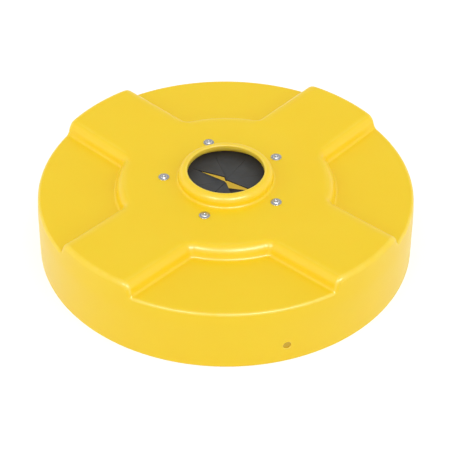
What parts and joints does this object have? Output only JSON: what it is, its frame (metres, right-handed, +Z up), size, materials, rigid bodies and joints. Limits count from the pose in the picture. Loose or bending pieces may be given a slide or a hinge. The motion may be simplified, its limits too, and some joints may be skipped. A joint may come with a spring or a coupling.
{
  "type": "drum cover",
  "caption": "Round moulded drum cover with a deep skirt, a raised cross between sunk pockets and a central rolled port closed by slit rubber flaps.",
  "frame": {"origin": "centre of the skirt's lower edge, which is the surface that the cover stands on", "axes": "+Z up through the centre of the port; +X and +Y through the middles of two neighbouring pockets, with the arms of the raised cross at 45 degrees to them"},
  "size_m": [0.66, 0.66, 0.155],
  "materials": {
    "lid_plastic": "satin moulded polyethylene, yellow, slightly translucent",
    "rubber": "matt black sheet rubber with a grey bloom",
    "rivet_aluminium": "plain aluminium, slightly tumbled",
    "mandrel_steel": "zinc plated wire, broken end",
    "washer_steel": "zinc plated pressed washer"
  },
  "bodies": {
    "lid": {"lid_shell": "lid_plastic", "diaphragm_ring": "rubber", "rivet_1": "rivet_aluminium", "rivet_mandrel_1": "mandrel_steel", "backing_washer_1": "washer_steel", "rivet_2": "rivet_aluminium", "rivet_mandrel_2": "mandrel_steel", "backing_washer_2": "washer_steel", "rivet_3": "rivet_aluminium", "rivet_mandrel_3": "mandrel_steel", "backing_washer_3": "washer_steel", "rivet_4": "rivet_aluminium", "rivet_mandrel_4": "mandrel_steel", "backing_washer_4": "washer_steel", "rivet_5": "rivet_aluminium", "rivet_mandrel_5": "mandrel_steel", "backing_washer_5": "washer_steel"},
    "flap_1": {"flap_1": "rubber"},
    "flap_2": {"flap_2": "rubber"},
    "flap_3": {"flap_3": "rubber"},
    "flap_4": {"flap_4": "rubber"},
    "flap_5": {"flap_5": "rubber"},
    "flap_6": {"flap_6": "rubber"},
    "flap_7": {"flap_7": "rubber"},
    "flap_8": {"flap_8": "rubber"}
  },
  "joints": [
    {"name": "flap_1_hinge", "type": "hinge", "parent": "lid", "child": "flap_1", "pos_m": [0.05153, 0.03594, 0.12745], "axis": [0.5721, -0.8202, 0], "range_deg": [-58.5, 81.5], "stiffness_Nm_per_rad": 0.08, "springref_deg": -0.86},
    {"name": "flap_2_hinge", "type": "hinge", "parent": "lid", "child": "flap_2", "pos_m": [0.01102, 0.06185, 0.12745], "axis": [0.9845, -0.1754, 0], "range_deg": [-60.5, 79.5], "stiffness_Nm_per_rad": 0.08, "springref_deg": -0.86},
    {"name": "flap_3_hinge", "type": "hinge", "parent": "lid", "child": "flap_3", "pos_m": [-0.03594, 0.05153, 0.12745], "axis": [0.8202, 0.5721, 0], "range_deg": [-52, 88], "stiffness_Nm_per_rad": 0.08, "springref_deg": -0.86},
    {"name": "flap_4_hinge", "type": "hinge", "parent": "lid", "child": "flap_4", "pos_m": [-0.06185, 0.01102, 0.12745], "axis": [0.1754, 0.9845, 0], "range_deg": [-63, 77], "stiffness_Nm_per_rad": 0.08, "springref_deg": -0.86},
    {"name": "flap_5_hinge", "type": "hinge", "parent": "lid", "child": "flap_5", "pos_m": [-0.05153, -0.03594, 0.12745], "axis": [-0.5721, 0.8202, 0], "range_deg": [-63, 77], "stiffness_Nm_per_rad": 0.08, "springref_deg": -0.86},
    {"name": "flap_6_hinge", "type": "hinge", "parent": "lid", "child": "flap_6", "pos_m": [-0.01102, -0.06185, 0.12745], "axis": [-0.9845, 0.1754, 0], "range_deg": [-63.5, 76.5], "stiffness_Nm_per_rad": 0.08, "springref_deg": -0.86},
    {"name": "flap_7_hinge", "type": "hinge", "parent": "lid", "child": "flap_7", "pos_m": [0.03594, -0.05153, 0.12745], "axis": [-0.8202, -0.5721, 0], "range_deg": [-76, 64], "stiffness_Nm_per_rad": 0.08, "springref_deg": -0.86},
    {"name": "flap_8_hinge", "type": "hinge", "parent": "lid", "child": "flap_8", "pos_m": [0.06185, -0.01102, 0.12745], "axis": [-0.1754, -0.9845, 0], "range_deg": [-57.5, 82.5], "stiffness_Nm_per_rad": 0.08, "springref_deg": -0.86}
  ]
}
